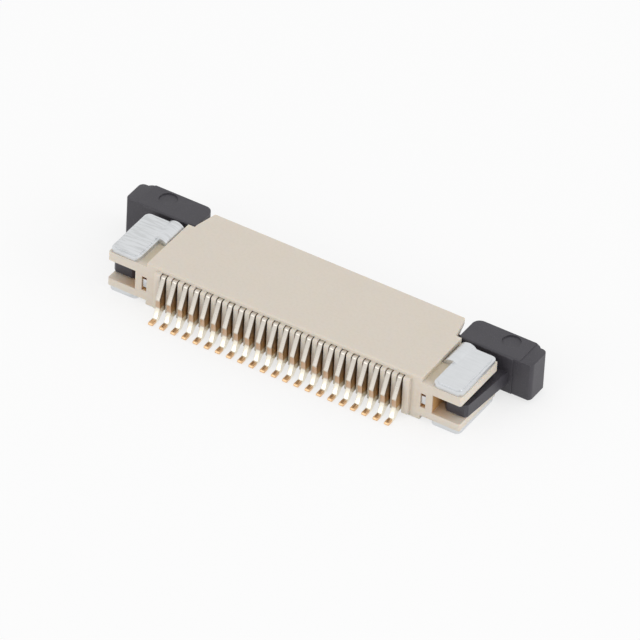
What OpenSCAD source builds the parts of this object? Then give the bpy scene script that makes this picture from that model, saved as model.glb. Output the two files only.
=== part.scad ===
// Right-angle surface-mount connector for a flat flexible cable.
// A pull-out slider clamps the cable onto a row of stamped contacts.
//
// Frame: X runs along the contact row, +Y is the side the cable enters,
// the solder tails point to -Y, and the circuit board's face is z = 0.
// Lengths along Y are counted from the housing's rear face, and every
// piece is then moved back by half the footprint's depth.

/* [Contact row] */
// Number of contacts
positions = 22; // [6:1:40]
// Distance from one contact to the next
pitch = 0.5; // [0.45:0.01:0.7]
// Thickness of the contact sheet
contact_t = 0.2; // [0.12:0.01:0.22]
// Gap between a contact and each side of the channel it is pressed into
contact_fit = 0.01; // [0.005:0.005:0.02]

/* [Contact tail] */
// How far the foot's tip stands behind the rear face
foot_reach = 1.02; // [0.95:0.01:1.4]
// Length of the foot along the board
foot_len = 0.4; // [0.3:0.01:0.5]
// Height of the foot
foot_t = 0.13; // [0.1:0.01:0.16]
// How far the knee of the leg stands behind the rear face
knee_reach = 0.55; // [0.45:0.01:0.62]
// Height of the knee above the board
knee_z = 0.91; // [0.8:0.01:1.1]
// Width of the tail between the knee and the foot
tail_w = 0.22; // [0.18:0.01:0.26]

// How far the leg stands out behind the ribs
leg_proud = 0.02; // [0.01:0.01:0.04]
// How far the front of the knee is set back below its edge
knee_set = 0.05; // [0.03:0.01:0.08]
// Height where the tail turns down from the knee
tail_z = 0.55; // [0.5:0.01:0.6]
// Height of the bump on the lower beam above the cable floor
bump_h = 0.07; // [0.04:0.01:0.09]
// From the shoulders back to the top of the bump
bump_back = 0.65; // [0.55:0.01:0.9]

/* [Housing block] */
// Height of the connector above the board
height = 2; // [1.9:0.05:2.8]
// Gap between the block and the board
board_gap = 0.02; // [0:0.01:0.08]
// From the centre of the last contact to the side of the block
end_wall = 0.85; // [0.75:0.01:1.2]
// Depth of the block from the rear face to its shoulders
block_d = 2.93; // [2.9:0.01:3.4]
// Bevel along the block's upper rear edge
rear_bevel = 0.05; // [0.02:0.01:0.1]
// Thickness of the roof over the cable
roof_t = 0.35; // [0.3:0.01:0.42]
// Height of the cable floor above the board
floor_z = 0.55; // [0.5:0.01:0.6]
// Thickness of the wall behind the cable
rear_wall = 0.9; // [0.7:0.01:1.1]

/* [Housing lip] */
// How far the roof reaches over the slider past the shoulders
lip_reach = 1.17; // [0.9:0.01:1.22]
// Step from the block's side in to the lip's side
lip_step = 0.3; // [0.26:0.01:0.4]
// How much each side of the lip draws in towards its edge
lip_taper = 0.22; // [0.1:0.01:0.4]
// Thickness of the roof's front edge
lip_edge_t = 0.24; // [0.2:0.01:0.3]
// Bevel along the roof's upper front edge
lip_bevel = 0.06; // [0.03:0.01:0.08]
// Bevel of the lip's two corners, seen from above
lip_corner = 0.08; // [0.04:0.01:0.12]
// How far the floor reaches past the shoulders
floor_reach = 0.95; // [0.8:0.01:1.1]
// Length of the slope that leads the cable in
lead_len = 0.3; // [0.2:0.01:0.4]
// Drop of that slope
lead_drop = 0.18; // [0.1:0.01:0.25]

/* [Rear ribs] */
// Width of the slot that each contact stands in
slot_w = 0.29; // [0.27:0.01:0.34]
// Depth of the slots ahead of the rear face
slot_d = 0.17; // [0.1:0.01:0.3]
// How far the ribs between the slots stand behind the rear face
rib_out = 0.18; // [0.1:0.01:0.25]
// Height of the ribs' undersides above the board
rib_foot = 0.15; // [0.1:0.01:0.25]
// Depth of the ribs' tops below the top face
rib_drop = 0.17; // [0.1:0.01:0.2]
// Radius along the top edge of the ribs
rib_round = 0.1; // [0.05:0.01:0.1]
// Width of the two end ribs outside the last slots
end_rib_w = 0.26; // [0.2:0.01:0.32]

/* [Ears] */
// Width of the solid pillar that carries each pair of ears
pillar_w = 0.5; // [0.45:0.01:0.7]
// From the block's side to the ears' outer face
ear_reach = 1.73; // [1.6:0.01:2.2]
// Depth of the ears
ear_d = 2.7; // [2.55:0.01:2.8]
// Thickness of the upper ear
upper_ear_t = 0.4; // [0.34:0.01:0.44]
// Thickness of the lower ear
lower_ear_t = 0.32; // [0.28:0.01:0.36]
// Radius of the ears' upright edges
ear_round = 0.08; // [0.04:0.01:0.15]
// Height of the window behind the hold-down's anchor leg
window_h = 0.66; // [0.5:0.01:0.7]
// Depth of that window
window_d = 0.3; // [0.2:0.01:0.5]

/* [Hold-downs] */
// Thickness of the hold-down sheet
sheet_t = 0.2; // [0.16:0.01:0.22]
// Gap between a hold-down and the housing
sheet_fit = 0.01; // [0.005:0.005:0.02]
// Width of the hold-down's plates, across the ears
plate_w = 1.27; // [1.1:0.01:1.3]
// Distance from the ears' outer face to the edge of the plate
plate_side_inset = 0.03; // [0.02:0.01:0.1]
// Distance from the rear face to the rear edge of the plate
plate_inset = 0.04; // [0.02:0.01:0.15]
// Depth of the plates
plate_d = 2.67; // [2.4:0.01:2.7]
// Radius of the plates' corners
plate_round = 0.22; // [0.15:0.01:0.3]
// Width of the coined border of the upper plate
coin_w = 0.11; // [0.05:0.01:0.15]
// Depth of the coined border
coin_d = 0.04; // [0.02:0.01:0.08]
// Where the neck starts, from the rear face
neck_y = 1.5; // [1.3:0.01:1.8]
// Length of the neck that joins the plates to the upright web
neck_len = 1.27; // [1.1:0.01:1.4]
// Outer radius of the bends between the web and the necks
bend_r = 0.42; // [0.3:0.01:0.45]
// Height of the crown of the bend above the upper plate
bend_crown = 0.06; // [0:0.01:0.1]
// Height of the anchor leg inside the pillar
anchor_h = 0.36; // [0.3:0.01:0.44]
// Height of the centre of the anchor leg above the board
anchor_z = 0.95; // [0.9:0.01:1.05]
// Distance from the rear face to the tip of the anchor leg
anchor_tip = 0.06; // [0.03:0.01:0.3]

/* [Slider] */
// Gap between the shoulders and the slider's grips when it is shut
grip_gap = 0.17; // [0.1:0.01:0.4]
// Depth of the grips
grip_d = 1.34; // [1.2:0.01:1.6]
// Length of each grip along the row
grip_len = 3.2; // [2.6:0.01:3.6]
// Height of the grips' underside above the board
grip_foot = 0.17; // [0.1:0.01:0.25]
// Depth of the grips' top below the top of the housing
grip_drop = 0.14; // [0.1:0.01:0.2]
// Gap between the lip's side and the grip
grip_side_gap = 0.07; // [0.05:0.01:0.15]
// Radius of the grips' upright edges at the back
grip_round = 0.34; // [0.2:0.01:0.4]
// Radius along the grips' upper front edge
grip_soft = 0.09; // [0.05:0.01:0.15]
// Length of the shallower outer end of each grip
tab_len = 0.26; // [0.2:0.01:0.4]
// How far the back of the outer end is set in
tab_inset = 0.15; // [0.08:0.01:0.2]
// Radius of the outer end's upright edges
tab_round = 0.22; // [0.15:0.01:0.3]
// Depth of the low steps on the grips
step_d = 0.03; // [0.02:0.01:0.06]
// From the grip's outer end to the step on its top
top_step_x = 0.55; // [0.4:0.01:0.8]
// From the grip's outer end to the step on its front
front_step_x = 0.81; // [0.6:0.01:1]
// Radius of the moulding mark on each grip
mark_r = 0.38; // [0.3:0.01:0.4]
// Depth of the moulding mark
mark_d = 0.06; // [0.03:0.01:0.1]
// From the grip's inner end to the middle of the mark
mark_in = 1.79; // [1.2:0.01:2]
// From the grip's front face to the middle of the mark
mark_back = 0.88; // [0.6:0.01:0.9]
// Depth of the slider's bar
bar_d = 0.5; // [0.4:0.01:0.8]
// Gap between the shoulders and the bar when the slider is shut
bar_gap = 0.08; // [0.05:0.01:0.15]
// Bevel that leads the cable in under the bar's back edge
bar_lead = 0.12; // [0.05:0.01:0.2]
// Height of the slider's bar
bar_h = 0.62; // [0.5:0.01:0.64]
// Gap between the slider and the roof above it
slide_gap = 0.05; // [0.03:0.01:0.06]
// How far the wedge reaches into the block when shut
wedge_reach = 1.4; // [1.1:0.01:1.6]
// Thickness of the wedge at its tip
wedge_tip_t = 0.3; // [0.2:0.01:0.4]
// Length of the slope under the wedge's tip
wedge_ramp = 0.5; // [0.3:0.01:0.8]
// Width of each arm at its tip
arm_w = 0.98; // [0.8:0.01:1]
// Height of each arm
arm_h = 0.56; // [0.5:0.01:0.6]
// Gap under the arm, above the lower ear
arm_gap = 0.06; // [0.04:0.01:0.1]
// From the rear face to the arm's tip when shut
arm_tip = 0.43; // [0.4:0.01:0.7]
// How far the outer side of the arm leans out from tip to root
arm_lean = 0.2; // [0:0.01:0.25]
// How far the arm's tip stands out past the ears
arm_proud = 0.04; // [0:0.01:0.08]
// Bevel of the arm's tip
arm_bevel = 0.12; // [0.06:0.01:0.2]
// How far the slider pulls out
travel = 0.8; // [0.5:0.05:0.9]

/* [Latch] */
// How far the barb stands out of the arm's inner side
barb_out = 0.12; // [0.08:0.01:0.15]
// Length of the barb along the arm
barb_len = 0.3; // [0.2:0.01:0.4]
// Length of the flat at the barb's crest
barb_land = 0.1; // [0.06:0.01:0.15]
// Gap left between the barb and its stop when the slider is out
barb_gap = 0.03; // [0.02:0.01:0.06]
// Gap between the arm's inner side and the stop
stop_gap = 0.05; // [0.03:0.01:0.08]
// Depth of the stop
stop_d = 0.35; // [0.25:0.01:0.5]

/* [Hidden] */
$fn = 48;
// overshoot of a cut past the face it opens
cut = 0.1;

// contact row
row_half = (positions - 1) * pitch / 2;
cable_side_gap = 0.05;
cable_half = (positions + 1) * pitch / 2 + cable_side_gap;

// housing
block_half = row_half + end_wall;
roof_z = height - roof_t;
rib_top = height - rib_drop;
lip_y = block_d + lip_reach;
lip_half = block_half - lip_step;
pillar_half = block_half + pillar_w;
ear_half = block_half + ear_reach;
upper_ear_top = height - sheet_t;
upper_ear_z = upper_ear_top - upper_ear_t;
lower_ear_z = sheet_t + sheet_fit;
lower_ear_top = lower_ear_z + lower_ear_t;
channel_half = contact_t / 2 + contact_fit;
channel_z = 0.25;
channel_top = rib_top - contact_fit;
groove_end = block_d - 0.15;
beam_end = block_d - 0.25;

// slider
grip_y = block_d + grip_gap;
grip_back = grip_y + grip_d;
grip_in = lip_half + grip_side_gap;
grip_out = grip_in + grip_len;
grip_top = height - grip_drop;
bar_top = roof_z - slide_gap;
bar_z = bar_top - bar_h;
bar_y = block_d + bar_gap;
arm_z = lower_ear_top + arm_gap;
arm_out = ear_half + arm_proud;
arm_in = arm_out - arm_w;
mark_x = grip_in + mark_in;
mark_y = grip_y + mark_back;

// the footprint's middle, which is the frame's origin
origin_y = (grip_back - foot_reach) / 2;

function contact_name(i) = str("contact_", i < 9 ? "0" : "", i + 1);
function contact_x(i) = i * pitch - row_half;

// ---------- helpers ----------

// a YZ outline carried along X, from x0 to x1
module along_x(x0, x1)
    translate([x0, 0, 0]) rotate([90, 0, 90])
        linear_extrude(height = x1 - x0) children();

// an XZ outline carried along Y, from y0 to y1
module along_y(y0, y1)
    translate([0, y1, 0]) rotate([90, 0, 0])
        linear_extrude(height = y1 - y0) children();

module box(x0, x1, y0, y1, z0, z1)
    translate([x0, y0, z0]) cube([x1 - x0, y1 - y0, z1 - z0]);

// the same shape at both ends of the row
module both_ends() {
    children();
    mirror([1, 0, 0]) children();
}

// moves a piece from the rear face's datum to the frame's origin
module in_frame() translate([0, -origin_y, 0]) children();

// a rectangle whose corners are round
module round_rect(x0, x1, y0, y1, r)
    union() {
        translate([x0 + r, y0]) square([x1 - x0 - 2 * r, y1 - y0]);
        translate([x0, y0 + r]) square([x1 - x0, y1 - y0 - 2 * r]);
        for (x = [x0 + r, x1 - r], y = [y0 + r, y1 - r])
            translate([x, y]) circle(r);
    }

// ---------- housing ----------

module block()
    along_x(-block_half, block_half)
        polygon([
            [0, board_gap], [0, height - rear_bevel], [rear_bevel, height],
            [block_d, height], [block_d, board_gap]
        ]);

// the roof thins towards its front edge, where the cable enters below it
module lip() {
    // length of the lip that is full width and full thickness
    root = 0.15;
    edge_half = lip_half - lip_taper;
    intersection() {
        translate([0, 0, roof_z]) linear_extrude(height = roof_t)
            polygon([
                [-lip_half, block_d - cut], [lip_half, block_d - cut],
                [lip_half, block_d + root],
                [edge_half, lip_y - lip_corner], [edge_half - lip_corner, lip_y],
                [-edge_half + lip_corner, lip_y], [-edge_half, lip_y - lip_corner],
                [-lip_half, block_d + root]
            ]);
        along_x(-block_half, block_half)
            polygon([
                [block_d - cut, roof_z], [block_d + root, roof_z],
                [lip_y, height - lip_edge_t], [lip_y, height - lip_bevel],
                [lip_y - lip_bevel, height], [block_d - cut, height]
            ]);
    }
}

// the floor's front edge slopes down to lead the cable in
module floor_tongue()
    along_x(-lip_half, lip_half)
        polygon([
            [block_d - cut, board_gap], [block_d - cut, floor_z],
            [block_d + floor_reach - lead_len, floor_z],
            [block_d + floor_reach, floor_z - lead_drop],
            [block_d + floor_reach, board_gap]
        ]);

// upper and lower ear with the arm's pocket between them, on one pillar
module ear_pair() {
    module plan(x1)
        round_rect(block_half - cut, x1, 0, ear_d, ear_round);
    translate([0, 0, upper_ear_z]) linear_extrude(height = upper_ear_t)
        plan(ear_half);
    translate([0, 0, lower_ear_z]) linear_extrude(height = lower_ear_t)
        plan(ear_half);
    box(block_half - cut, pillar_half, 0, ear_d, lower_ear_z, upper_ear_top);
}

module rib_outline() {
    polygon([
        [cut, rib_foot], [cut, rib_top], [-rib_out + rib_round, rib_top],
        [-rib_out, rib_top - rib_round], [-rib_out, rib_foot]
    ]);
    translate([-rib_out + rib_round, rib_top - rib_round]) circle(rib_round);
}

// the ribbed field behind the contacts, and the slots cut into it
module rib_field() {
    side = row_half + slot_w / 2 + end_rib_w;
    along_x(-side, side) rib_outline();
}

module contact_slots()
    for (i = [0 : positions - 1]) translate([contact_x(i), 0, 0]) {
        box(-slot_w / 2, slot_w / 2, -rib_out - cut, slot_d, -cut, rib_top);
        box(-channel_half, channel_half, slot_d - cut, rear_wall + cut,
            channel_z, channel_top);
        // grooves for the two beams, in the floor and in the roof
        box(-channel_half, channel_half, rear_wall, groove_end,
            channel_z, floor_z + cut);
        box(-channel_half, channel_half, rear_wall, groove_end,
            roof_z - cut, channel_top);
    }

// the space that the cable and the slider's wedge share
module cable_space()
    box(-cable_half, cable_half, rear_wall, lip_y + cut, floor_z, roof_z);

// upright slot for the hold-down's web, and the hole for its anchor leg
module web_slot() {
    x0 = block_half - sheet_fit;
    x1 = block_half + sheet_t + sheet_fit;
    box(x0, x1, neck_y - sheet_fit, block_d + cut, -cut, height + cut);
    box(x0, x1, -cut, neck_y + cut,
        anchor_z - anchor_h / 2 - sheet_fit, anchor_z + anchor_h / 2 + sheet_fit);
    box(x0, x1, -cut, window_d, anchor_z - window_h / 2, anchor_z + window_h / 2);
}

// the wall in the arm's pocket that the barb stops against
module latch_stop() {
    stop_y = arm_tip + barb_len + barb_land + travel + barb_gap;
    box(pillar_half - cut, arm_in - stop_gap, stop_y, stop_y + stop_d,
        lower_ear_top - cut, upper_ear_z + cut);
}

module housing()
    color([0.84, 0.8, 0.73]) in_frame() difference() {
        union() {
            block();
            lip();
            floor_tongue();
            rib_field();
            both_ends() {
                ear_pair();
                latch_stop();
            }
        }
        cable_space();
        contact_slots();
        both_ends() web_slot();
    }

// ---------- hold-downs ----------

module plate_outline(inset) {
    x1 = ear_half - plate_side_inset;
    round_rect(x1 - plate_w + inset, x1 - inset,
        plate_inset + inset, plate_inset + plate_d - inset,
        plate_round - inset / 2);
}

// section of the web and its two bends, the neck's whole width long
module neck_outline() {
    inner = block_half;
    outer = inner + sheet_t;
    reach = ear_half - plate_side_inset - plate_w + plate_round;
    crown = height + bend_crown;
    // the crown stays level this far before it falls to the plate
    level = 0.06;
    difference() {
        union() {
            polygon([
                [inner, bend_r], [inner, crown - bend_r], [inner + bend_r, crown],
                [inner + bend_r + level, crown], [reach, height],
                [reach, 0], [inner + bend_r, 0]
            ]);
            translate([inner + bend_r, crown - bend_r]) circle(bend_r);
            translate([inner + bend_r, bend_r]) circle(bend_r);
        }
        translate([outer, sheet_t]) square([reach, height - 2 * sheet_t]);
    }
}

module hold_down() {
    // solder tab under the lower ear
    linear_extrude(height = sheet_t) plate_outline(0);
    // upper plate, with its coined border
    translate([0, 0, height - sheet_t]) {
        linear_extrude(height = sheet_t - coin_d) plate_outline(0);
        linear_extrude(height = sheet_t) plate_outline(coin_w);
    }
    along_y(neck_y, neck_y + neck_len) neck_outline();
    // anchor leg that runs back into the pillar
    box(block_half, block_half + sheet_t, anchor_tip, neck_y + cut,
        anchor_z - anchor_h / 2, anchor_z + anchor_h / 2);
}

module right_hold_down()
    color([0.84, 0.85, 0.86]) in_frame() hold_down();

module left_hold_down()
    color([0.84, 0.85, 0.86]) in_frame() mirror([1, 0, 0]) hold_down();

// ---------- slider ----------

// plan of one grip: the outer end is a little shallower than the rest
module grip_plan() {
    // the shallower end starts inside the deep part, clear of its round corner
    tab_start = grip_out - tab_len - grip_round - tab_round - cut;
    round_rect(grip_in, grip_out - tab_len, grip_y, grip_back, grip_round);
    translate([grip_in, grip_y])
        square([grip_len - grip_round - tab_len, grip_d / 2]);
    round_rect(tab_start, grip_out, grip_y, grip_back - tab_inset, tab_round);
}

// section of one grip, with its softened upper front edge
module grip_section() {
    polygon([
        [grip_y, grip_foot], [grip_y, grip_top - grip_soft],
        [grip_y + grip_soft, grip_top], [grip_back, grip_top],
        [grip_back, grip_foot]
    ]);
    translate([grip_y + grip_soft, grip_top - grip_soft]) circle(grip_soft);
}

module grip()
    difference() {
        intersection() {
            translate([0, 0, grip_foot])
                linear_extrude(height = grip_top - grip_foot) grip_plan();
            along_x(grip_in, grip_out) grip_section();
        }
        // moulding mark
        translate([mark_x, mark_y, grip_top - mark_d])
            cylinder(r = mark_r, h = mark_d + cut);
        // low step across the top, and the one down the front
        box(grip_out - top_step_x, grip_out + cut, grip_y - cut, grip_back + cut,
            grip_top - step_d, grip_top + cut);
        box(grip_out - front_step_x, grip_out + cut, grip_y - cut, grip_y + step_d,
            -cut, grip_top + cut);
    }

module arm() {
    root = grip_y + cut;
    side = arm_tip + arm_bevel;
    crest = arm_tip + barb_len;
    translate([0, 0, arm_z]) linear_extrude(height = arm_h)
        union() {
            polygon([
                [arm_in, side], [arm_in + arm_bevel, arm_tip],
                [arm_out - arm_bevel, arm_tip], [arm_out, side],
                [arm_out + arm_lean, root], [arm_in, root]
            ]);
            // barb that keeps the slider from coming off
            polygon([
                [arm_in + cut, side], [arm_in, side],
                [arm_in - barb_out, crest],
                [arm_in - barb_out, crest + barb_land],
                [arm_in + cut, crest + barb_land]
            ]);
        }
}

// the bar between the grips, with the wedge that presses on the cable
module bar() {
    wedge_y = block_d - wedge_reach;
    wedge_half = cable_half - slide_gap;
    // the bar itself, with a lead-in for the cable under its back edge
    along_x(-grip_in - cut, grip_in + cut)
        polygon([
            [bar_y, bar_z], [bar_y, bar_top],
            [bar_y + bar_d, bar_top], [bar_y + bar_d, bar_z + bar_lead],
            [bar_y + bar_d - bar_lead, bar_z]
        ]);
    along_x(-wedge_half, wedge_half)
        polygon([
            [wedge_y, bar_top - wedge_tip_t], [wedge_y, bar_top],
            [bar_y + cut, bar_top], [bar_y + cut, bar_z],
            [wedge_y + wedge_ramp, bar_z]
        ]);
}

module slider()
    color([0.27, 0.26, 0.28]) in_frame() {
        bar();
        both_ends() {
            grip();
            arm();
        }
    }

// ---------- contacts ----------

// side view of one contact, cut from flat sheet
module contact_outline() {
    heel = foot_reach - foot_len;
    leg_y = -rib_out - leg_proud;
    bump_y = block_d - bump_back;
    bump_z = floor_z + bump_h;
    bump_half = 0.12;
    // how much the bump's shoulders stand below its top
    bump_fall = 0.02;
    beam_top = floor_z - 0.1;
    // the knee's edge is blunt by this much
    blunt = 0.03;
    union() {
        // foot, tail and leg behind the rear face
        polygon([
            [-foot_reach + foot_t / 2, 0], [-heel + 2 * knee_set, 0],
            [-knee_reach + tail_w + 2 * knee_set, channel_z],
            [rear_wall, channel_z], [rear_wall, channel_top],
            [leg_y + rib_round, channel_top], [leg_y, channel_top - rib_round],
            [-knee_reach, knee_z + blunt], [-knee_reach + blunt, knee_z - blunt],
            [-knee_reach + knee_set, tail_z], [-heel - blunt, foot_t + blunt],
            [-heel - 2 * blunt, foot_t], [-foot_reach + foot_t / 2, foot_t]
        ]);
        translate([leg_y + rib_round, channel_top - rib_round]) circle(rib_round);
        translate([-foot_reach + foot_t / 2, foot_t / 2]) circle(foot_t / 2);
        // spring beam in the floor groove, with the bump that meets the cable
        polygon([
            [rear_wall - cut, channel_z], [rear_wall + 3 * cut, channel_z],
            [beam_end, channel_z + cut], [beam_end, beam_top],
            [bump_y + bump_half, bump_z - bump_fall], [bump_y, bump_z],
            [bump_y - bump_half, bump_z - bump_fall],
            [bump_y - 3 * bump_half, beam_top], [rear_wall - cut, beam_top]
        ]);
        // backing beam in the roof groove
        translate([rear_wall - cut, roof_z + bump_fall])
            square([beam_end - rear_wall + cut, channel_top - roof_z - bump_fall]);
    }
}

module contact(i)
    color([0.85, 0.72, 0.52]) in_frame()
        along_x(contact_x(i) - contact_t / 2, contact_x(i) + contact_t / 2)
            contact_outline();

// ---------- the pieces ----------

housing();
slider();
left_hold_down();
right_hold_down();
for (i = [0 : positions - 1])
    contact(i);
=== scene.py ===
"""Looks of a right-angle surface-mount connector for a flat flexible cable.

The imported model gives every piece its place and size. This script gives each
piece its finished form and finish, and sets the floor, the light and the camera.
"""

import logging
import math
from dataclasses import dataclass, field
from enum import Enum
from typing import Any, Sequence

import bmesh
import bpy
from mathutils import Matrix, Vector


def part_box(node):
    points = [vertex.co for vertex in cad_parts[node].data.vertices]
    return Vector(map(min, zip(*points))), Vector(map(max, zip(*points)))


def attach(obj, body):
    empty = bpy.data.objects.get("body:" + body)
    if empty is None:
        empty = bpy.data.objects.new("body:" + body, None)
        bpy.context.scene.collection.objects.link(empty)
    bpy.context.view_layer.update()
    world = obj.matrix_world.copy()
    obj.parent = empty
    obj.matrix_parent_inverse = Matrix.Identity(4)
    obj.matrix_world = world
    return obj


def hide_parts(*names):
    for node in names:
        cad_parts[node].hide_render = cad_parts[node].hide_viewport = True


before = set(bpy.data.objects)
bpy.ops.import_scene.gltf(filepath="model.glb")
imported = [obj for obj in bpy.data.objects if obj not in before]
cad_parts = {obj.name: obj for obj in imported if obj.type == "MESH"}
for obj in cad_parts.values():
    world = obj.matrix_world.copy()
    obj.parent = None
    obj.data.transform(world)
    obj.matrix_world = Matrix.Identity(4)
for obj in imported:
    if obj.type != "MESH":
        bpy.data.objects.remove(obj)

log = logging.getLogger("flat_cable_connector")

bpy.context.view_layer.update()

MM = 0.001
# place of the housing's rear face along Y, in millimetres
REAR_FACE = -1.71
# refractive index of the resins, and of the thin film on the metals
GLOSS_INDEX = 1.5

Colour = tuple[float, float, float, float]
Triple = tuple[float, float, float]
# where a mask is 0 and where it is 1, in millimetres unless it says otherwise
Ramp = tuple[float, float]


class Body(Enum):
    """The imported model's bodies."""

    BASE = "base"
    LOCK = "lock"


class Family(Enum):
    """The connector's four finishes, by the record's material slot."""

    RESIN = "housing_plastic"
    LOCK_RESIN = "slider_plastic"
    CONTACT = "contact_metal"
    TIN = "tin_plate"


def linear(red: float, green: float, blue: float) -> Colour:
    """Turns an 8-bit display colour into a linear colour with alpha 1.

    Args:
        red: Red, 0 to 255.
        green: Green, 0 to 255.
        blue: Blue, 0 to 255.

    Returns:
        The linear colour.
    """
    def one(value: float) -> float:
        """Returns one channel, made linear."""
        value /= 255.0
        return value / 12.92 if value <= 0.04045 else ((value + 0.055) / 1.055) ** 2.4
    return (one(red), one(green), one(blue), 1.0)


def facing(heading: float, height: float) -> Vector:
    """Returns the direction from the object towards a viewer or a lamp.

    Args:
        heading: Degrees from -Y towards +X.
        height: Elevation, in degrees.

    Returns:
        The unit vector.
    """
    turn, rise = math.radians(heading), math.radians(height)
    return Vector((math.sin(turn) * math.cos(rise), -math.cos(turn) * math.cos(rise), math.sin(rise)))


# ---------------------------------------------------------------- shader maths

class Wire:
    """A node's output socket that plain arithmetic can be done on.

    Attributes:
        graph: The graph that the socket belongs to.
        socket: The output socket.
    """

    def __init__(self, graph: "Graph", socket: bpy.types.NodeSocket | None) -> None:
        """Wraps one output socket."""
        self.graph = graph
        self.socket = socket

    def _math(self, operation: str, *values: Any) -> "Wire":
        """Adds one Math node and returns its result."""
        return self.graph.node("ShaderNodeMath", {"operation": operation}, dict(enumerate(values)))

    def __add__(self, other: Any) -> "Wire":
        """Sum."""
        return self._math("ADD", self, other)

    __radd__ = __add__

    def __sub__(self, other: Any) -> "Wire":
        """Difference."""
        return self._math("SUBTRACT", self, other)

    def __rsub__(self, other: Any) -> "Wire":
        """Difference, with this one taken away."""
        return self._math("SUBTRACT", other, self)

    def __mul__(self, other: Any) -> "Wire":
        """Product."""
        return self._math("MULTIPLY", self, other)

    __rmul__ = __mul__

    def __abs__(self) -> "Wire":
        """Size without sign."""
        return self._math("ABSOLUTE", self)

    def step(self, low: float, high: float) -> "Wire":
        """Rises smoothly from 0 at low to 1 at high.

        Args:
            low: Value that gives 0.
            high: Value that gives 1; it may be below low.

        Returns:
            The mask.
        """
        falls = high < low
        first, last = (high, low) if falls else (low, high)
        return self.graph.node(
            "ShaderNodeMapRange", {"interpolation_type": "SMOOTHSTEP"},
            {"Value": self, "From Min": first, "From Max": last,
             "To Min": float(falls), "To Max": float(not falls)})


class Graph:
    """Builds a material's nodes, one call to a node.

    Attributes:
        tree: The node tree that is being filled.
    """

    def __init__(self, tree: bpy.types.NodeTree) -> None:
        """Empties the tree and takes it over."""
        self.tree = tree
        tree.nodes.clear()

    def node(self, kind: str, settings: dict[str, Any] | None = None,
             inputs: dict[Any, Any] | None = None, out: Any = None) -> Wire:
        """Adds one node.

        Args:
            kind: The node's type.
            settings: Its settings, made first.
            inputs: Values or wires, by socket name or number.
            out: Name or number of the output to return; by default the first in use.

        Returns:
            The chosen output.
        """
        made = self.tree.nodes.new(kind)
        for name, value in (settings or {}).items():
            setattr(made, name, value)
        for key, value in (inputs or {}).items():
            socket = self._pick(made.inputs, key)
            if isinstance(value, Wire):
                self.tree.links.new(value.socket, socket)
            else:
                socket.default_value = value
        if out is None:
            return Wire(self, next((s for s in made.outputs if s.enabled), None))
        return Wire(self, self._pick(made.outputs, out))

    @staticmethod
    def _pick(sockets: Any, key: Any) -> bpy.types.NodeSocket:
        """Returns the socket of that number, or the enabled one of that name."""
        if isinstance(key, int):
            return sockets[key]
        return next(s for s in sockets if s.name == key and s.enabled)

    def place(self) -> Wire:
        """Returns Object coordinates, in millimetres."""
        coords = self.node("ShaderNodeTexCoord", out="Object")
        return self.node("ShaderNodeVectorMath", {"operation": "MULTIPLY"},
                         {0: coords, 1: (1 / MM, 1 / MM, 1 / MM)})

    def axes(self, vector: Wire) -> tuple[Wire, Wire, Wire]:
        """Splits a vector into its three parts."""
        split = self.node("ShaderNodeSeparateXYZ", {}, {0: vector}).socket.node
        return tuple(Wire(self, s) for s in split.outputs)

    def noise(self, where: Wire, size: float, detail: float = 3.0) -> Wire:
        """Returns noise about 0.5, with patches of roughly 1/size."""
        return self.node("ShaderNodeTexNoise", {"noise_dimensions": "3D"},
                         {"Vector": where, "Scale": size, "Detail": detail, "Roughness": 0.55},
                         out=0)

    def blend(self, share: Any, first: Any, second: Any) -> Wire:
        """Mixes two colours."""
        return self.node("ShaderNodeMix", {"data_type": "RGBA", "clamp_result": False},
                         {"Factor": share, "A": first, "B": second}, out="Result")

    def bump(self, height: Wire, depth: float, under: Wire | None = None) -> Wire:
        """Returns a bumped normal; depth is in millimetres for a height of 0 to 1."""
        inputs: dict[str, Any] = {"Strength": 1.0, "Distance": depth * MM, "Height": height}
        if under is not None:
            inputs["Normal"] = under
        return self.node("ShaderNodeBump", {}, inputs)

    def surface(self, tone: Wire, rough: Wire, normal: Wire, **more: Any) -> Wire:
        """Adds the shader of a solid surface.

        Args:
            tone: Its colour.
            rough: Its roughness.
            normal: Its bumped normal.
            **more: Other sockets' values, with spaces in their names as underscores.

        Returns:
            The shader.
        """
        inputs = {"Base Color": tone, "Roughness": rough, "Normal": normal, "IOR": GLOSS_INDEX}
        inputs.update({name.replace("_", " "): value for name, value in more.items()})
        return self.node("ShaderNodeBsdfPrincipled", {}, inputs)

    def seen(self) -> Wire:
        """Returns 1 for rays from the eye, from a gloss or through glass."""
        rays = self.node("ShaderNodeLightPath").socket.node
        eye, gloss, glass = (
            Wire(self, rays.outputs[name])
            for name in ("Is Camera Ray", "Is Glossy Ray", "Is Transmission Ray"))
        return eye + gloss + glass


# ---------------------------------------------------------------- finishes

@dataclass(frozen=True)
class Finish:
    """What every finish has.

    Attributes:
        name: The material's name.
    """

    name: str

    def material(self) -> bpy.types.Material:
        """Makes the material once, and returns it again when asked again."""
        found = bpy.data.materials.get(self.name)
        if found is not None:
            return found
        made = bpy.data.materials.new(self.name)
        made.use_nodes = True
        graph = Graph(made.node_tree)
        graph.node("ShaderNodeOutputMaterial", {}, {"Surface": self.shade(graph)})
        return made

    def shade(self, graph: Graph) -> Wire:
        """Fills the graph and returns its shader."""
        raise NotImplementedError


@dataclass(frozen=True)
class PieceFinish(Finish):
    """A finish of one of the connector's pieces.

    Attributes:
        family: The record's material slot that it belongs to.
    """

    family: Family


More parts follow.
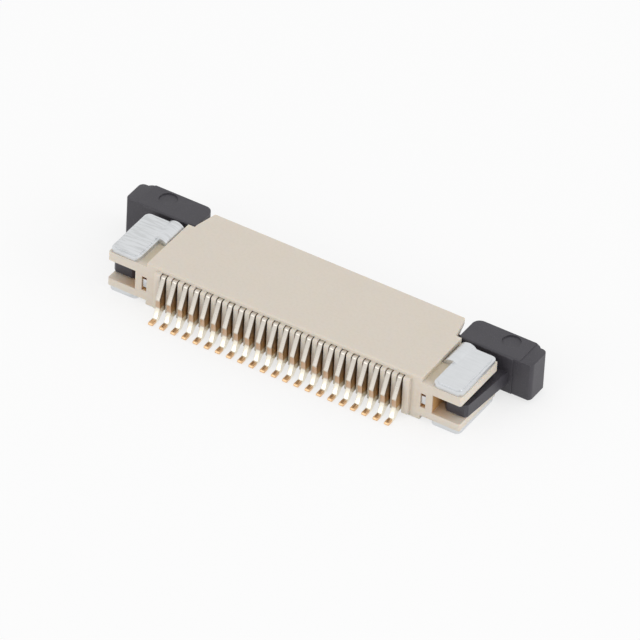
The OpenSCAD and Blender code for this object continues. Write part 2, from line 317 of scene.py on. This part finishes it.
@dataclass(frozen=True)
class HousingResin(PieceFinish):
    """Natural heat-resistant resin, moulded with a satin skin.

    Light that comes back warm from the resin is painted in as shade: the colour is painted
    deeper and warmer in the contact slots, in the ears' pockets and in the grooves beside the plates.

    Attributes:
        tones: The skin's two mean colours.
        fleck_tone: Colour of the fine flecks.
        slot_shade_tone: Painted shade colour inside the contact slots.
        pocket_shade_tone: Painted shade colour at the inner end of the pockets.
        groove_shade_tone: Painted shade colour of the strips beside the plates.
        roughness: Mean roughness of the skin.
        block_half: Half width of the block, in millimetres.
        pillar_half: From the middle to the pillars' outer face, in millimetres.
        slot_mouth: Where the slots' painted shade sets in, from the rear face.
        slot_end: Where it fades in the wall behind them, from the rear face.
        slot_top: Where it fades under the ribs' tops.
        row_end: Where it fades past the last slots, from the middle.
        pocket_mouth: Where the pockets' painted shade sets in, from the rear face.
        pocket_floor: Where it sets in above the lower ear.
        pocket_roof: Where it fades under the upper ear.
        pocket_reach: How far out from the pillar it goes, in millimetres.
        groove_inner: Where the grooves' painted shade sets in, from the block's side.
        groove_outer: Where it fades, from the block's side.
        groove_floor: Where it sets in, in height.
        groove_top: Where it fades, in height.
        groove_mouth: Where it sets in, from the rear face.
    """

    tones: tuple[Colour, Colour] = (linear(219, 209, 197), linear(212, 203, 189))
    fleck_tone: Colour = linear(205, 196, 180)
    slot_shade_tone: Colour = linear(150, 118, 78)
    pocket_shade_tone: Colour = linear(206, 160, 104)
    groove_shade_tone: Colour = linear(196, 182, 156)
    roughness: float = 0.5
    block_half: float = 6.10
    pillar_half: float = 6.60
    slot_mouth: Ramp = (-0.19, -0.08)
    slot_end: Ramp = (0.9, 0.6)
    slot_top: Ramp = (1.8, 1.7)
    row_end: Ramp = (5.42, 5.38)
    pocket_mouth: Ramp = (-0.02, 0.12)
    pocket_floor: Ramp = (0.50, 0.56)
    pocket_roof: Ramp = (1.42, 1.36)
    pocket_reach: float = 1.2
    groove_inner: Ramp = (-0.02, 0.0)
    groove_outer: Ramp = (0.5, 0.3)
    groove_floor: Ramp = (1.74, 1.79)
    groove_top: Ramp = (1.97, 1.9)
    groove_mouth: Ramp = (0.05, 0.4)

    def shade(self, graph: Graph) -> Wire:
        """Fills the graph and returns its shader."""
        mm = graph.place()
        cloud = graph.noise(mm, 0.7, 2.0)
        fleck = graph.noise(mm, 9.0)
        grain = graph.noise(mm, 38.0, 2.0)
        tone = graph.blend((cloud - 0.5) * 0.5 + 0.5, *self.tones)
        tone = graph.blend((fleck - 0.42).step(0.0, 0.25) * 0.22, tone, self.fleck_tone)
        # painted shade: the contact slots are painted a warm brown
        tone = graph.blend(self._slot_shade(graph, mm), tone, self.slot_shade_tone)
        # painted shade: the ears' pockets are painted orange-brown towards their inner end
        tone = graph.blend(self._pocket_shade(graph, mm), tone, self.pocket_shade_tone)
        # painted shade: the strips between the block and the plates are painted darker beige
        tone = graph.blend(self._groove_shade(graph, mm) * 0.75, tone, self.groove_shade_tone)
        rough = self.roughness + (fleck - 0.5) * 0.16
        skin = graph.bump(grain, 0.0012, graph.bump(cloud, 0.012))
        return graph.surface(
            tone, rough, skin, Subsurface_Weight=0.25, Subsurface_Scale=0.25 * MM,
            Subsurface_Radius=(1.0, 0.62, 0.34))

    def _slot_shade(self, graph: Graph, mm: Wire) -> Wire:
        """Returns a mask that is 1 inside the contact slots, for their painted shade."""
        across, along, up = graph.axes(mm)
        depth = along - REAR_FACE
        inside = depth.step(*self.slot_mouth) * depth.step(*self.slot_end)
        return inside * abs(across).step(*self.row_end) * up.step(*self.slot_top)

    def _pocket_shade(self, graph: Graph, mm: Wire) -> Wire:
        """Returns a mask that grows towards the inner end of the ears' pockets, for their painted
        shade.
        """
        across, along, up = graph.axes(mm)
        height = up.step(*self.pocket_floor) * up.step(*self.pocket_roof)
        inward = abs(across).step(self.pillar_half + self.pocket_reach, self.pillar_half)
        return height * inward * (along - REAR_FACE).step(*self.pocket_mouth)

    def _groove_shade(self, graph: Graph, mm: Wire) -> Wire:
        """Returns a mask for the painted shade in the strips between the block and the plates."""
        across, along, up = graph.axes(mm)
        out = abs(across) - self.block_half
        strip = out.step(*self.groove_inner) * out.step(*self.groove_outer)
        height = up.step(*self.groove_floor) * up.step(*self.groove_top)
        return strip * height * (along - REAR_FACE).step(*self.groove_mouth)


@dataclass(frozen=True)
class LockResin(PieceFinish):
    """Dark glass-filled resin with a fine matt grain.

    Attributes:
        tones: Its two mean colours.
        grain_tone: Colour of the grain's crests.
        roughness: Mean roughness.
    """

    tones: tuple[Colour, Colour] = (linear(53, 51, 57), linear(61, 59, 65))
    grain_tone: Colour = linear(92, 88, 94)
    roughness: float = 0.46

    def shade(self, graph: Graph) -> Wire:
        """Fills the graph and returns its shader."""
        mm = graph.place()
        cloud = graph.noise(mm, 1.3, 2.0)
        grain = graph.noise(mm, 22.0, 4.0)
        tone = graph.blend(cloud, *self.tones)
        tone = graph.blend((grain - 0.5).step(0.0, 0.25) * 0.45, tone, self.grain_tone)
        rough = self.roughness + (grain - 0.5) * 0.3
        return graph.surface(tone, rough, graph.bump(grain, 0.004))


@dataclass(frozen=True)
class TinPlating(PieceFinish):
    """Sheet with a satin tin plating, streaked by the rolls, more so on the left.

    Attributes:
        tones: Its two mean colours.
        streak_tone: Colour of the streaks.
        streak_turn: Direction of the streaks, in degrees from X.
        streak_scale: How dense the pattern is along, across and through the sheet.
        roughness: Mean roughness.
        metal: How metallic it is.
    """

    tones: tuple[Colour, Colour] = (linear(212, 214, 216), linear(220, 222, 224))
    streak_tone: Colour = linear(182, 184, 184)
    streak_turn: float = -18.0
    streak_scale: Triple = (1.2, 11.0, 3.0)
    roughness: float = 0.4
    metal: float = 0.9

    def shade(self, graph: Graph) -> Wire:
        """Fills the graph and returns its shader."""
        mm = graph.place()
        turned = graph.node("ShaderNodeMapping", {}, {
            "Vector": mm, "Rotation": (0.0, 0.0, math.radians(self.streak_turn)),
            "Scale": self.streak_scale})
        streak = graph.noise(turned, 1.0)
        cloud = graph.noise(mm, 2.2)
        across, _, _ = graph.axes(mm)
        share = across.step(2.0, -2.0) * 0.35 + 0.08
        tone = graph.blend(cloud, *self.tones)
        tone = graph.blend((streak - 0.46).step(0.0, 0.16) * share, tone, self.streak_tone)
        rough = self.roughness + (streak - 0.5) * 0.2
        skin = graph.bump(streak, 0.0015, graph.bump(cloud, 0.002))
        return graph.surface(tone, rough, skin, Metallic=self.metal)


@dataclass(frozen=True)
class ContactPlating(PieceFinish):
    """Plated bronze sheet; the tail's near-white is a painted reflection, and the darker, warmer
    stretch below the knee and the flanks in the slots are painted shade.

    Attributes:
        leg_tones: The leg's two mean colours.
        tail_reflection_tone: Near-white of the tail: a painted reflection of the white floor.
        under_knee_shade_tones: Two colours of the stretch below the knee: painted shade, darker and
            warmer.
        foot_tone: Colour of the foot.
        flank_shade_tones: Painted shade on the flanks in the slots, low down and high up.
        roughness: Mean roughness.
        metal: How metallic it is.
        tail: Where the tail's painted reflection sets in below the knee, in height.
        knee_shade_top: Where the painted shade below the knee sets in, in height.
        knee_shade_end: Where the painted shade below the knee fades, in height.
        foot_start: Where the foot sets in, out from the rear face.
        foot_top: Where the foot's colour sets in, in height.
        flank_turn: How far a face turns sideways to count as a flank, as a cosine.
        flank_low: Where the flanks' painted shade sets in, in height.
        flank_rise: Heights of the two painted shade colours on the flanks.
    """

    leg_tones: tuple[Colour, Colour] = (linear(218, 211, 201), linear(207, 201, 191))
    tail_reflection_tone: Colour = linear(246, 240, 224)
    under_knee_shade_tones: tuple[Colour, Colour] = (linear(206, 170, 134), linear(184, 146, 110))
    foot_tone: Colour = linear(232, 194, 150)
    flank_shade_tones: tuple[Colour, Colour] = (linear(186, 146, 92), linear(118, 98, 72))
    roughness: float = 0.3
    metal: float = 0.9
    tail: Ramp = (0.56, 0.5)
    knee_shade_top: Ramp = (0.92, 0.86)
    knee_shade_end: Ramp = (0.53, 0.6)
    foot_start: Ramp = (0.66, 0.78)
    foot_top: Ramp = (0.3, 0.2)
    flank_turn: Ramp = (0.5, 0.9)
    flank_low: Ramp = (0.42, 0.62)
    flank_rise: Ramp = (0.6, 1.5)

    def shade(self, graph: Graph) -> Wire:
        """Fills the graph and returns its shader."""
        mm = graph.place()
        _, along, up = graph.axes(mm)
        sideways, _, _ = graph.axes(graph.node("ShaderNodeNewGeometry", out="Normal"))
        fleck = graph.noise(mm, 14.0)
        cloud = graph.noise(mm, 3.0, 2.0)
        tone = graph.blend(cloud, *self.leg_tones)
        # painted reflection: the tail is painted near-white, as if mirroring the white floor
        tone = graph.blend(up.step(*self.tail), tone, self.tail_reflection_tone)
        # painted shade: the stretch below the knee is painted darker and warmer, as if shaded under
        # the knee
        under_knee_shade = up.step(*self.knee_shade_top) * up.step(*self.knee_shade_end)
        tone = graph.blend(under_knee_shade * 0.7, tone, graph.blend(cloud, *self.under_knee_shade_tones))
        foot = (REAR_FACE - along).step(*self.foot_start) * up.step(*self.foot_top)
        tone = graph.blend(foot, tone, self.foot_tone)
        # painted shade: faces turned sideways, down in the slots, are painted golden to dark brown
        flank = abs(sideways).step(*self.flank_turn) * up.step(*self.flank_low)
        flank_shade = graph.blend(up.step(*self.flank_rise), *self.flank_shade_tones)
        tone = graph.blend(flank * 0.9, tone, flank_shade)
        rough = self.roughness + (fleck - 0.5) * 0.2 + flank * 0.1
        return graph.surface(tone, rough, graph.bump(fleck, 0.003), Metallic=self.metal)


@dataclass(frozen=True)
class FloorPaper(Finish):
    """Pale floor: plain to light, white to the eye, with the shadow kept.

    Attributes:
        keep: Share of the real floor that the eye sees, for the shadow.
        pale: The floor's own brightness.
    """

    keep: float = 0.3
    pale: float = 0.93

    def shade(self, graph: Graph) -> Wire:
        """Fills the graph and returns its shader."""
        paper = graph.node("ShaderNodeBsdfDiffuse", {}, {"Color": (*[self.pale] * 3, 1.0)})
        glow = graph.node("ShaderNodeEmission", {}, {"Color": (1.0, 1.0, 1.0, 1.0), "Strength": 1.0})
        return graph.node("ShaderNodeMixShader", {},
                          {0: graph.seen() * (1.0 - self.keep), 1: paper, 2: glow})


RESIN = HousingResin("housing resin", Family.RESIN)
LOCK_RESIN = LockResin("lock resin", Family.LOCK_RESIN)
TIN = TinPlating("tin plating", Family.TIN)
CONTACT_METAL = ContactPlating("contact plating", Family.CONTACT)


# ---------------------------------------------------------------- meshes

class Bench:
    """Turns meshes into finished pieces that ride on the connector's bodies."""

    # corners closer than this, in metres, are one corner
    same_corner = 2e-7
    # faces that differ by less than this, in degrees, are one face
    same_plane = 0.6
    # edges sharper than this are rounded, in degrees
    sharp_edge = 28.0
    # how strongly a large face keeps its own shading
    face_weight = 80

    @staticmethod
    def adopt(name: str, mesh: bpy.types.Mesh) -> bpy.types.Object:
        """Puts a mesh into the scene as an object at the origin."""
        made = bpy.data.objects.new(name, mesh)
        bpy.context.scene.collection.objects.link(made)
        return made

    @classmethod
    def merged_copy(cls, node: str) -> bpy.types.Mesh:
        """Copies a node's mesh, joins its doubles and clears its flat seams.

        Args:
            node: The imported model's node.

        Returns:
            The new mesh, shaded smooth.
        """
        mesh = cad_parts[node].data.copy()
        mesh.materials.clear()
        work = bmesh.new()
        work.from_mesh(mesh)
        bmesh.ops.remove_doubles(work, verts=work.verts, dist=cls.same_corner)
        bmesh.ops.dissolve_limit(work, angle_limit=math.radians(cls.same_plane),
                                 use_dissolve_boundaries=False, verts=work.verts,
                                 edges=work.edges, delimit={"NORMAL"})
        work.to_mesh(mesh)
        work.free()
        mesh.shade_smooth()
        return mesh

    @staticmethod
    def bake(piece: bpy.types.Object) -> None:
        """Turns the piece's modifiers into plain mesh."""
        bpy.context.view_layer.update()
        graph = bpy.context.evaluated_depsgraph_get()
        done = bpy.data.meshes.new_from_object(piece.evaluated_get(graph))
        piece.modifiers.clear()
        piece.data = done

    @classmethod
    def soften(cls, piece: bpy.types.Object, width: float, steps: int) -> None:
        """Rounds a piece's edges and keeps its flat faces evenly shaded.

        Args:
            piece: The piece.
            width: Width of the rounding, in millimetres.
            steps: Faces across the rounding.
        """
        rounding = piece.modifiers.new("rounding", "BEVEL")
        rounding.width = width * MM
        rounding.segments = steps
        rounding.limit_method = "ANGLE"
        rounding.angle_limit = math.radians(cls.sharp_edge)
        rounding.use_clamp_overlap = True
        rounding.miter_outer = "MITER_ARC"
        even = piece.modifiers.new("even faces", "WEIGHTED_NORMAL")
        even.mode = "FACE_AREA"
        even.weight = cls.face_weight
        even.keep_sharp = False
        cls.bake(piece)

    @staticmethod
    def finish(piece: bpy.types.Object, finish: PieceFinish, body: Body,
               stands_for: Sequence[str]) -> None:
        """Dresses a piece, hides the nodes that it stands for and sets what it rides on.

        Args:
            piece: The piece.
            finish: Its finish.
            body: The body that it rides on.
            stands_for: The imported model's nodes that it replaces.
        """
        piece.data.materials.clear()
        piece.data.materials.append(finish.material())
        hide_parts(*stands_for)
        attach(piece, body.value)
        log.info("%s: %d faces, for %d node(s)", piece.name, len(piece.data.polygons),
                 len(stands_for))


# ---------------------------------------------------------------- the connector

@dataclass(kw_only=True)
class RoundedPart:
    """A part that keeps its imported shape, with its edges rounded.

    Attributes:
        edge: Rounding along its edges, in millimetres.
        steps: Faces across the rounding.
    """

    edge: float
    steps: int

    def _make(self, name: str, node: str, finish: PieceFinish, body: Body) -> bpy.types.Object:
        """Builds the part from one node and dresses it."""
        piece = Bench.adopt(name, Bench.merged_copy(node))
        Bench.soften(piece, self.edge, self.steps)
        Bench.finish(piece, finish, body, [node])
        return piece


@dataclass(kw_only=True)
class Housing(RoundedPart):
    """The beige moulding."""

    edge: float = 0.03
    steps: int = 2

    def build(self) -> bpy.types.Object:
        """Builds the moulding."""
        return self._make("housing_moulding", "housing", RESIN, Body.BASE)


@dataclass(kw_only=True)
class LockSlider(RoundedPart):
    """The dark slider."""

    edge: float = 0.045
    steps: int = 3

    def build(self) -> bpy.types.Object:
        """Builds the slider."""
        return self._make("lock_slider", "slider", LOCK_RESIN, Body.LOCK)


@dataclass(kw_only=True)
class HoldDown(RoundedPart):
    """One of the two bright clips on the ears.

    Attributes:
        side: "left" or "right".
    """

    side: str
    edge: float = 0.03
    steps: int = 3

    def build(self) -> bpy.types.Object:
        """Builds the clip."""
        return self._make(f"{self.side}_board_clip", f"{self.side}_hold_down", TIN, Body.BASE)


@dataclass
class ContactRow:
    """The row of stamped contacts.

    Attributes:
        nodes: The contacts' nodes, in order.
        edge: Rounding along the sheared edges, in millimetres.
        steps: Faces across the rounding.
    """

    nodes: list[str]
    edge: float = 0.018
    steps: int = 2

    def build(self) -> bpy.types.Object:
        """Builds the row."""
        first, last = self._middle(self.nodes[0]), self._middle(self.nodes[-1])
        mesh = Bench.merged_copy(self.nodes[0])
        mesh.transform(Matrix.Translation((-first, 0, 0)))
        piece = Bench.adopt("contact_row", mesh)
        Bench.soften(piece, self.edge, self.steps)
        self._repeat(piece, first, (last - first) / (len(self.nodes) - 1))
        Bench.bake(piece)
        Bench.finish(piece, CONTACT_METAL, Body.BASE, self.nodes)
        return piece

    @staticmethod
    def _middle(node: str) -> float:
        """Returns the middle of a node's box along X, in metres."""
        low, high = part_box(node)
        return (low[0] + high[0]) / 2

    def _repeat(self, piece: bpy.types.Object, first: float, pitch: float) -> None:
        """Adds the nodes that set the contact out along the row.

        Args:
            piece: The object that holds one contact.
            first: Place of the first contact along X, in metres.
            pitch: Spacing, in metres.
        """
        tree = bpy.data.node_groups.new("contact row", "GeometryNodeTree")
        tree.is_modifier = True
        sockets = tree.interface
        sockets.new_socket("Contact", in_out="INPUT", socket_type="NodeSocketGeometry")
        values = {
            sockets.new_socket("Count", in_out="INPUT", socket_type="NodeSocketInt"): len(self.nodes),
            sockets.new_socket("Start", in_out="INPUT", socket_type="NodeSocketFloat"): first,
            sockets.new_socket("Pitch", in_out="INPUT", socket_type="NodeSocketFloat"): pitch,
        }
        sockets.new_socket("Row", in_out="OUTPUT", socket_type="NodeSocketGeometry")
        graph = Graph(tree)
        given = {s.name: Wire(graph, s) for s in graph.node("NodeGroupInput").socket.node.outputs}
        line = graph.node("GeometryNodeMeshLine", {"mode": "OFFSET"}, {
            "Count": given["Count"],
            "Start Location": graph.node("ShaderNodeCombineXYZ", {}, {"X": given["Start"]}),
            "Offset": graph.node("ShaderNodeCombineXYZ", {}, {"X": given["Pitch"]})})
        placed = graph.node("GeometryNodeInstanceOnPoints", {},
                            {"Points": line, "Instance": given["Contact"]})
        real = graph.node("GeometryNodeRealizeInstances", {}, {"Geometry": placed})
        dressed = graph.node("GeometryNodeSetMaterial", {},
                             {"Geometry": real, "Material": CONTACT_METAL.material()})
        graph.node("NodeGroupOutput", {}, {"Row": dressed})
        added = piece.modifiers.new("row", "NODES")
        added.node_group = tree
        for socket, value in values.items():
            added[socket.identifier] = value


# ---------------------------------------------------------------- the studio

@dataclass(frozen=True)
class SoftLamp:
    """One soft lamp.

    Attributes:
        name: Its name.
        heading: Direction from the object, in degrees from -Y towards +X.
        height: Elevation, in degrees.
        distance: Distance from the object, in metres.
        size: Width of the lamp, in metres.
        power: Power, in watts.
    """

    name: str
    heading: float
    height: float
    distance: float
    size: float
    power: float

    def build(self, aim: Vector) -> bpy.types.Object:
        """Builds the lamp and turns it to face a point."""
        lamp = bpy.data.lights.new(self.name, "AREA")
        lamp.shape = "DISK"
        lamp.size = self.size
        lamp.energy = self.power
        made = bpy.data.objects.new(self.name, lamp)
        back = facing(self.heading, self.height)
        turn = back.to_track_quat("Z", "Y").to_matrix().to_4x4()
        made.matrix_world = Matrix.Translation(aim + back * self.distance) @ turn
        bpy.context.scene.collection.objects.link(made)
        return made


@dataclass
class Studio:
    """Floor, light and camera.

    Attributes:
        azimuth: The camera's heading, in degrees from -Y towards +X.
        elevation: The camera's height, in degrees.
        roll: The camera's roll, in degrees.
        distance: From the camera to its target, in metres.
        target: What the camera looks at, in metres.
        lens: Focal length for the sensor's width, in millimetres.
        sensor: Width of the sensor, in millimetres.
        sight: Nearest and farthest distance that the camera sees, in metres.
        day: Strength of the even light from all round.
        floor_half: Half width of the floor, in metres.
        floor_drop: Gap between the object and the floor, in metres.
        aim: What the lamps face, in metres.
        lamps: The lamps.
    """

    azimuth: float = 29.5724
    elevation: float = 38.4929
    roll: float = 3.2264
    distance: float = 0.324743
    target: Triple = (0.0007236, -0.0002027, 0.0013566)
    lens: float = 482.832
    sensor: float = 36.0
    sight: tuple[float, float] = (0.01, 10.0)
    day: float = 0.86
    floor_half: float = 0.6
    floor_drop: float = 0.00001
    aim: Triple = (0.0, 0.0, 0.001)
    lamps: list[SoftLamp] = field(default_factory=lambda: [
        SoftLamp("right lamp", 100.0, 14.0, 0.30, 0.22, 0.27),
        SoftLamp("front lamp", -20.0, 18.0, 0.34, 0.26, 0.20),
    ])

    def build(self) -> None:
        """Builds the floor, the light and the camera."""
        scene = bpy.context.scene
        scene.view_settings.view_transform = "Standard"
        self._floor()
        self._world(scene)
        for lamp in self.lamps:
            lamp.build(Vector(self.aim))
        scene.camera = self._camera()
        log.info("studio: %d lamps", len(self.lamps))

    def _floor(self) -> None:
        """Lays the floor under the object."""
        mesh = bpy.data.meshes.new("floor")
        half, low = self.floor_half, -self.floor_drop
        corners = [(-half, -half, low), (half, -half, low), (half, half, low), (-half, half, low)]
        mesh.from_pydata(corners, [], [(0, 1, 2, 3)])
        mesh.materials.append(FloorPaper("floor paper").material())
        Bench.adopt("floor", mesh)

    def _world(self, scene: bpy.types.Scene) -> None:
        """Sets the even light, and white where it is seen or mirrored."""
        world = bpy.data.worlds.new("tent")
        world.use_nodes = True
        graph = Graph(world.node_tree)
        soft, white = (
            graph.node("ShaderNodeBackground", {}, {"Color": (1, 1, 1, 1), "Strength": strength})
            for strength in (self.day, 1.0))
        both = graph.node("ShaderNodeMixShader", {}, {0: graph.seen(), 1: soft, 2: white})
        graph.node("ShaderNodeOutputWorld", {}, {"Surface": both})
        scene.world = world

    def _camera(self) -> bpy.types.Object:
        """Returns the camera, in place."""
        back = facing(self.azimuth, self.elevation)
        level = Vector((0, 0, 1)).cross(back).normalized()
        above = back.cross(level)
        roll = math.radians(self.roll)
        right = level * math.cos(roll) + above * math.sin(roll)
        up = above * math.cos(roll) - level * math.sin(roll)
        data = bpy.data.cameras.new("camera")
        data.lens = self.lens
        data.sensor_width = self.sensor
        data.clip_start, data.clip_end = self.sight
        made = bpy.data.objects.new("camera", data)
        spot = Vector(self.target) + back * self.distance
        turn = Matrix((right, up, back)).transposed().to_4x4()
        made.matrix_world = Matrix.Translation(spot) @ turn
        bpy.context.scene.collection.objects.link(made)
        return made


def main() -> None:
    """Builds the connector and the studio."""
    logging.basicConfig(level=logging.INFO, format="%(name)s: %(message)s")
    contacts = sorted(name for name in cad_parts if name.startswith("contact_"))
    Housing().build()
    LockSlider().build()
    for side in ("left", "right"):
        HoldDown(side=side).build()
    ContactRow(contacts).build()
    Studio().build()


if __name__ == "__main__":
    main()
